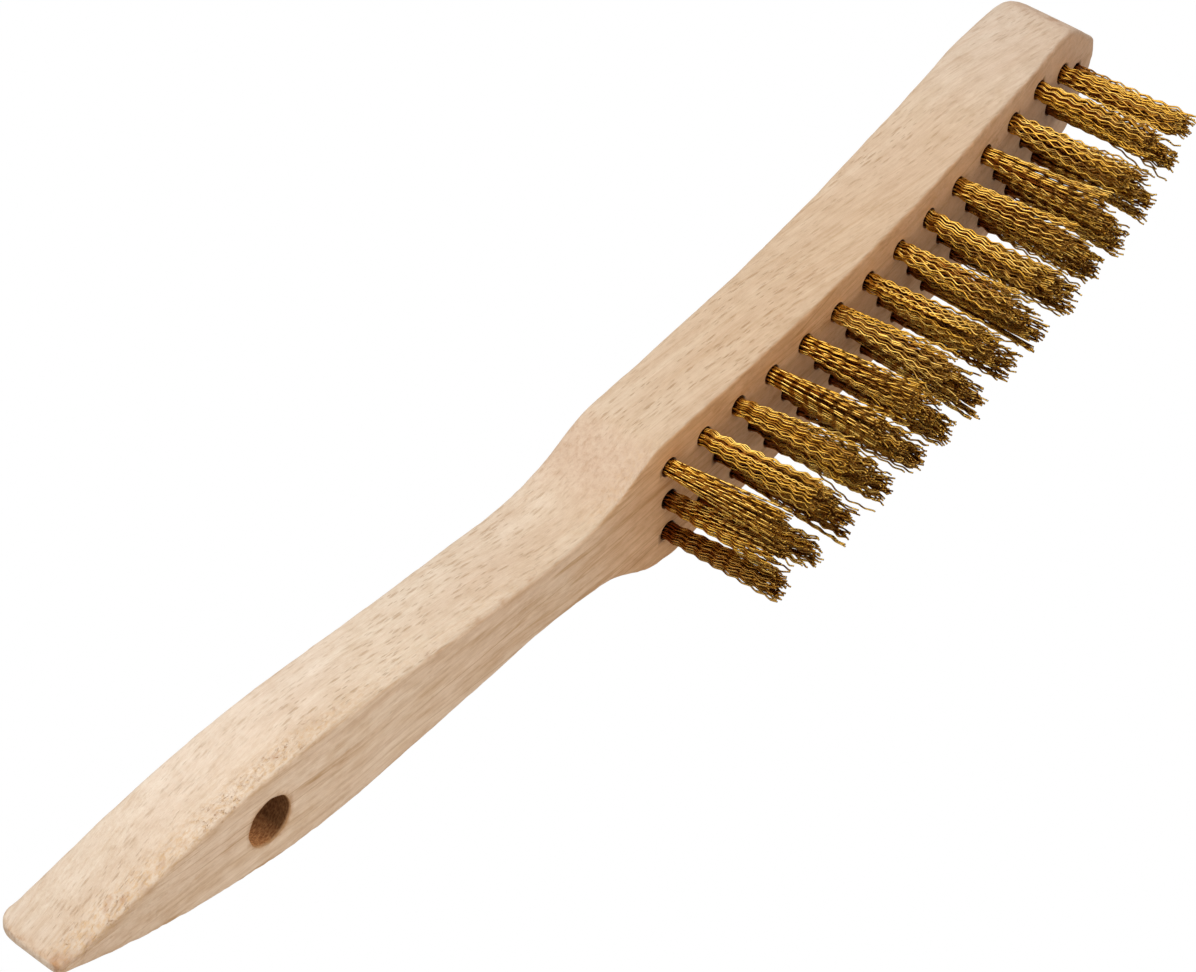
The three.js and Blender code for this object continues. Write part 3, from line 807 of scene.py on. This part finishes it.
def tuft(name, x0, y0, nose, rng):
    """Paths of the folded wires of one tuft, in the tuft frame. Each goes tip - fold - tip."""
    z_face = float(arch(x0))
    lean = rng.normal(0, math.radians(1.5), 2)
    if nose:
        lean[0] = abs(lean[0]) * 0.4
    root_r, tip_r = 1.58, (2.05 if nose else 2.95)
    dens = 0.62 if nose else 0.70
    # legs: spread over the disc, the two legs of a wire on opposite sides of the anchor
    i = np.arange(FOLDED)
    rr = root_r * np.sqrt((i + 0.5) / FOLDED)
    th = i * 2.39996 + rng.uniform(0, 6.28)
    ax, ay = rr * np.cos(th), np.abs(rr * np.sin(th)) * 0.92 + 0.13
    legs = np.stack([np.concatenate([ax, ax]), np.concatenate([-ay, ay])], -1)
    legs += rng.normal(0, 0.06, legs.shape)
    legs[:, 0] = np.clip(legs[:, 0], -1.6, 1.6)
    big = np.linalg.norm(legs, axis=1)
    legs *= np.minimum(1, 1.72 / np.maximum(big, 1e-6))[:, None]
    W = len(legs)
    L = TRIM + 0.45 - np.abs(rng.normal(0, 1.05, W)) - 0.3 * rng.random(W)
    L = np.clip(L, TRIM - 3.4, TRIM + 0.5)
    ds = 0.38
    n_out = int(round(TRIM / ds)) + 1
    s = np.linspace(0, 1, n_out)[None, :]  # along each leg outside
    S = s * L[:, None]
    # flare: the bundle opens progressively; strays open further
    open_ = 1 + (tip_r / root_r * rng.normal(1.0, 0.10, W)[:, None] - 1) * s**1.2
    off = legs[:, None, :] * open_[:, :, None]
    swirl = rng.normal(0, 0.10)
    ca, sa = np.cos(swirl * s), np.sin(swirl * s)
    off = np.stack([off[..., 0] * ca - off[..., 1] * sa, off[..., 0] * sa + off[..., 1] * ca], -1)
    drift = rng.normal(0, 0.42, (W, 2))
    off += drift[:, None, :] * (s**1.6)[:, :, None]
    # the free ends part into a few clumps
    clumps = off[rng.integers(0, W, 7), -1] * 1.12
    near = np.argmin(np.linalg.norm(off[:, -1, None] - clumps[None], axis=2), axis=1)
    pull = (clumps[near] - off[:, -1]) * rng.uniform(0.1, 0.55, W)[:, None]
    off += pull[:, None, :] * (np.clip((s - 0.35) / 0.65, 0, 1) ** 1.6)[:, :, None]
    # slow wander of each wire
    for q in range(3):
        f = rng.uniform(0.5, 1.6, W)[:, None]
        ph = rng.uniform(0, 6.28, (W, 2))
        amp = rng.uniform(0.02, 0.11, (W, 2))
        off[..., 0] += amp[:, :1] * np.sin(f * 2 * np.pi * s + ph[:, :1]) * s
        off[..., 1] += amp[:, 1:] * np.sin(f * 2 * np.pi * s + ph[:, 1:]) * s
    # strays: a few wires stand off and bend near the tip
    stray = rng.random(W) < 0.12
    d = rng.uniform(0, 6.28, W)
    push = np.where(stray, rng.uniform(0.6, 2.0, W), 0)[:, None] * np.clip((s - rng.uniform(0.35, 0.75, W)[:, None]) / 0.4, 0, 1) ** 1.5
    off += push[:, :, None] * np.stack([np.cos(d), np.sin(d)], -1)[:, None, :]
    # crimp: neighbours nest in phase, so the whole bundle shows soft cross bands
    common = rng.uniform(0, 6.28)
    plane = rng.uniform(-0.8, 1.0) + rng.normal(0, 0.15, W)
    plane = np.where(rng.random(W) < 0.07, rng.uniform(0, 3.14, W), plane)
    phase = common + rng.normal(0, 0.20, W) + math.pi * (rng.random(W) < rng.uniform(0.0, 0.24))
    phase = np.where(rng.random(W) < 0.07, rng.uniform(0, 6.28, W), phase)
    slip = rng.normal(0, 0.8, W)[:, None] * s**1.5
    lam = LAMBDA * rng.normal(1.0, 0.012, W)
    amp = 0.225 * rng.normal(1.0, 0.12, W)
    grow = 0.80 + 0.35 * s
    wave = np.sin(2 * np.pi * S / lam[:, None] + phase[:, None] + slip)
    wave = np.arcsin(0.93 * wave) / math.asin(0.93)  # rolled between toothed wheels: straight flanks, tight bends
    side = amp[:, None] * grow * wave * np.clip((S + 0.6) / 1.2, 0.35, 1)
    off[..., 0] += side * np.cos(plane)[:, None]
    off[..., 1] += side * np.sin(plane)[:, None]
    # how deep in the bundle each point lies: 0 on the outside, 1 at the core
    rad = np.hypot(off[..., 0] - off[..., 0].mean(0), off[..., 1] - off[..., 1].mean(0))
    deep = np.clip(1 - rad / np.percentile(rad, 88, axis=0)[None], 0, 1)
    out = np.empty((W, n_out, 3))
    out[..., 0] = x0 + off[..., 0] + S * math.tan(lean[0])
    out[..., 1] = y0 + off[..., 1] + S * math.tan(lean[1])
    out[..., 2] = z_face - S
    # inside the hole: straight up to the anchor, then over it
    first = out[:, 0].copy()
    n_in = 5
    up = []
    for q in range(1, n_in + 1):
        t = q / n_in
        p = first.copy()
        target = np.stack([x0 + legs[:, 0] * 0.92, y0 + legs[:, 1] * 0.98, np.full(W, z_face)], -1)
        p[:, :2] = first[:, :2] * (1 - t) + target[:, :2] * t
        p[:, 2] = z_face + t * (ANCHOR_Z - 0.2)
        up.append(p)
    up = np.stack(up, 1)
    half = np.concatenate([out[:, ::-1], up], 1)  # tip -> top of the leg
    A, B = half[:FOLDED], half[FOLDED:][:, ::-1]
    a, b = A[:, -1], B[:, 0]
    mid, r = (a + b) / 2, np.abs(b[:, 1] - a[:, 1]) / 2
    r = np.clip(r, 0.42, 1.55)
    arc = []
    n_arc = 7
    for q in range(1, n_arc + 1):
        t = math.pi * q / (n_arc + 1)
        p = mid.copy()
        p[:, 0] = a[:, 0] * (1 - q / (n_arc + 1)) + b[:, 0] * (q / (n_arc + 1))
        p[:, 1] = mid[:, 1] - r * math.cos(t)
        p[:, 2] = a[:, 2] + r * math.sin(t) * 0.98
        arc.append(p)
    arc = np.stack(arc, 1)
    paths = np.concatenate([A, arc, B], 1)
    n = paths.shape[1]
    depth = np.clip((z_face - paths[..., 2]) / TRIM, 0, 1)
    # painted shade, from how deep each point lies in the bundle: full inside the hole and over the anchor
    core = np.ones((W, n_in))
    painted_shade = np.concatenate([deep[:, ::-1], core], 1)
    painted_shade = np.concatenate([painted_shade[:FOLDED], np.ones((FOLDED, n_arc)), painted_shade[FOLDED:][:, ::-1]], 1)
    # painted shadow: the near row shades the middle and far rows close to the wood, and the far tuft of the first
    # column along its whole length
    row_shadow = 0.0 if y0 < -1 else (0.30 if y0 < 1 else 0.36)
    painted_shade = np.maximum(painted_shade, row_shadow * np.clip(1 - depth / 0.42, 0, 1))
    if name == "far_01":
        painted_shade = np.maximum(painted_shade, 0.22)
    return paths, rng.random(FOLDED), depth, painted_shade


tuft_boxes = []
for i, (name, x, y, nose) in enumerate(TUFTS):
    rng = np.random.default_rng(9100 + i)
    paths, ids, depth, painted_shade = tuft(name, x, y, nose, rng)
    v, q, c, wid, al = tube(paths, WIRE_R, SIDES, ids, depth)
    ob = quads_object(f"wires_{name}", to_row(v), q, c, BRASS)
    # the deep attribute carries the painted shade
    for att, data in (("wire", wid), ("along", al), ("deep", np.repeat(painted_shade.reshape(-1), SIDES))):
        ob.data.attributes.new(att, "FLOAT", "POINT").data.foreach_set("value", data.astype(np.float32))
    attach(ob, "root")
    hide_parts(f"tuft_{name}")

# ---- anchors: a flat strip with bitten ends, across each fold --------------------------------------------
for i, (name, x, y, nose) in enumerate(TUFTS):
    L2, T2, H2 = 1.76, 0.22, 0.72
    prof = []
    for sx in (-1, 1):
        col = [(-L2, -H2), (-L2 + 0.16, -H2 * 0.35), (-L2, 0.0), (-L2 + 0.16, H2 * 0.4), (-L2 + 0.10, H2)]
        prof.append([(p[0] * -sx, p[1]) for p in col])
    outline = prof[1] + prof[0][::-1]
    outline = [(px, pz) for px, pz in outline]
    b = 0.05
    verts, faces = [], []
    rings = [(-T2, 1 - b), (-T2 + b, 1.0), (T2 - b, 1.0), (T2, 1 - b)]
    n = len(outline)
    for yy, sc in rings:
        for px, pz in outline:
            verts.append(to_row(np.array([x + px * sc, y + yy, arch(x) + ANCHOR_Z + pz * sc])))
    for r in range(3):
        for s in range(n):
            t = (s + 1) % n
            faces.append((r * n + s, r * n + t, (r + 1) * n + t, (r + 1) * n + s))
    faces.append(tuple(range(n))[::-1])
    faces.append(tuple(range(3 * n, 4 * n)))
    ob = mesh_object(f"anchor_{name}", verts, faces, BRASS, shade=False)
    import bmesh

    bm = bmesh.new()
    bm.from_mesh(ob.data)
    bmesh.ops.recalc_face_normals(bm, faces=bm.faces)
    bm.to_mesh(ob.data)
    bm.free()
    for att, val in (("wire", 0.5), ("along", 0.0)):
        ob.data.attributes.new(att, "FLOAT", "POINT").data.foreach_set("value", np.full(len(ob.data.vertices), val, np.float32))
    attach(ob, "root")

# ---- floor, light, camera -------------------------------------------------------------------------------
scene = bpy.context.scene
# The camera looks up from below the plane of the wire tips, as if the brush lay on its side, so the floor
# is one-sided: it is seen from above and catches the brush's shadow, and from below it is clear.
me = bpy.data.meshes.new("floor")
R = 3.0
me.from_pydata([(-R, -R, 0), (R, -R, 0), (R, R, 0), (-R, R, 0)], [], [(0, 1, 2, 3)])
floor = bpy.data.objects.new("floor", me)
floor.location = (0, 0, -0.0004)
scene.collection.objects.link(floor)
f = Mat("pale_floor")
f.p.inputs["Roughness"].default_value = 0.8
f.put(f.p.inputs["Base Color"], f.mix(f.noise(f.add("ShaderNodeTexCoord").outputs["Object"], 6.0, 3.0), (0.80, 0.80, 0.80), (0.83, 0.83, 0.825)))
clear = f.add("ShaderNodeBsdfTransparent")
sides_ = f.add("ShaderNodeMixShader")
f.link(f.add("ShaderNodeNewGeometry").outputs["Backfacing"], sides_.inputs[0])
f.link(f.p.outputs[0], sides_.inputs[1])
f.link(clear.outputs[0], sides_.inputs[2])
f.link(sides_.outputs[0], f.out.inputs["Surface"])
me.materials.append(f.m)
floor.visible_shadow = False
floor.visible_diffuse = False
floor.visible_glossy = False

world = bpy.data.worlds.new("studio")
scene.world = world
world.use_nodes = True
nt = world.node_tree
nt.nodes.clear()
W = Mat.__new__(Mat)
W.nt = nt
out = W.add("ShaderNodeOutputWorld")
bg_diff, bg_cam, bg_gloss = (W.add("ShaderNodeBackground") for _ in range(3))
path = W.add("ShaderNodeLightPath")
bg_cam.inputs[0].default_value = (1, 1, 1, 1)
bg_cam.inputs[1].default_value = 1.0
bg_diff.inputs[0].default_value = (1.0, 0.985, 0.965, 1)
bg_diff.inputs[1].default_value = 0.62
# what shiny wires mirror: bright softbox above and left of the camera, dim elsewhere
direction = W.add("ShaderNodeTexCoord").outputs["Generated"]
to_key = Vector((-0.16, -0.95, -0.16)).normalized()
# it is a strip that stands along the wires, so that both flanks of each crimp catch it
dir_parts = W.add("ShaderNodeSeparateXYZ")
W.link(direction, dir_parts.inputs[0])
level_dir = W.add("ShaderNodeCombineXYZ")
W.link(dir_parts.outputs[0], level_dir.inputs[0])
W.link(dir_parts.outputs[1], level_dir.inputs[1])
flat_key = Vector((to_key.x, to_key.y, 0)).normalized()
facing = W.vmath("DOT_PRODUCT", W.vmath("NORMALIZE", level_dir.outputs[0]), tuple(flat_key), out=1)
reach = W.remap(W.math("ABSOLUTE", W.math("ADD", dir_parts.outputs[2], 0.12)), 0.92, 0.72)
level = W.math("MULTIPLY", W.remap(facing, 0.74, 0.96, 0.0, 3.1, smoothstep=True), reach)
for to, much in (((-0.50, 0.85, 0.10), 0.9), ((0.95, -0.10, 0.30), 0.7)):
    rear = W.vmath("DOT_PRODUCT", direction, tuple(Vector(to).normalized()), out=1)
    level = W.math("ADD", level, W.remap(rear, 0.80, 0.96, 0.0, much, smoothstep=True))
W.link(W.math("ADD", level, 0.05), bg_gloss.inputs[1])
# away from the softboxes the wires mirror wood and one another, so the dim part is warm
W.link(W.mix(W.remap(level, 0.0, 0.35), (1.0, 0.42, 0.05), (1.0, 0.96, 0.90)), bg_gloss.inputs[0])
m1, m2 = W.add("ShaderNodeMixShader"), W.add("ShaderNodeMixShader")
W.link(path.outputs["Is Glossy Ray"], m1.inputs[0])
W.link(bg_diff.outputs[0], m1.inputs[1])
W.link(bg_gloss.outputs[0], m1.inputs[2])
W.link(path.outputs["Is Camera Ray"], m2.inputs[0])
W.link(m1.outputs[0], m2.inputs[1])
W.link(bg_cam.outputs[0], m2.inputs[2])
W.link(m2.outputs[0], out.inputs[0])


def area(name, at, to, size, power, color=(1, 1, 1)):
    d = bpy.data.lights.new(name, "AREA")
    d.shape = "RECTANGLE"
    d.size, d.size_y = size
    d.energy = power
    d.color = color
    o = bpy.data.objects.new(name, d)
    o.location = at
    o.rotation_mode = "QUATERNION"
    o.rotation_quaternion = (Vector(to) - Vector(at)).to_track_quat("-Z", "Y")
    scene.collection.objects.link(o)
    return o


key = area("key", (-0.45, -1.20, 0.55), (0, 0, 0.04), (0.9, 0.7), 7.5, (1.0, 0.975, 0.94))
fill = area("fill_below", (-0.5, -0.7, -0.9), (0, 0, 0.03), (1.2, 1.0), 2.2, (1.0, 0.98, 0.96))
back = area("back", (0.5, 1.2, 0.8), (0, 0, 0.04), (1.2, 0.9), 5.0, (1.0, 0.99, 0.97))
key.visible_glossy = False
fill.visible_glossy = False
back.visible_glossy = False

R0 = (0.5711052184795057, -0.012105512161235732, -0.82078760102769)
R1 = (-0.5826074587109495, 0.6984116894888256, -0.4156797577940661)
R2 = (0.5782796715083847, 0.7155938572686873, 0.39181379883750433)
C_TUFT = (-1168.5455, -1440.3669, -774.3461)  # camera in tuft-frame millimetres
cam = bpy.data.cameras.new("camera")
cam.sensor_fit = "HORIZONTAL"
cam.sensor_width = 36.0
cam.lens = 11546.618 / 1196 * 36.0
cam.clip_start, cam.clip_end = 0.1, 10.0
cam_ob = bpy.data.objects.new("camera", cam)
cam_ob.matrix_world = Matrix((
    (R0[0], -R1[0], -R2[0], (C_TUFT[0] + SX) * MM),
    (R0[1], -R1[1], -R2[1], C_TUFT[1] * MM),
    (R0[2], -R1[2], -R2[2], (C_TUFT[2] + SZ) * MM),
    (0, 0, 0, 1),
))
scene.collection.objects.link(cam_ob)
scene.camera = cam_ob
scene.view_settings.view_transform = "Standard"
scene.view_settings.look = "None"

bpy.context.view_layer.update()
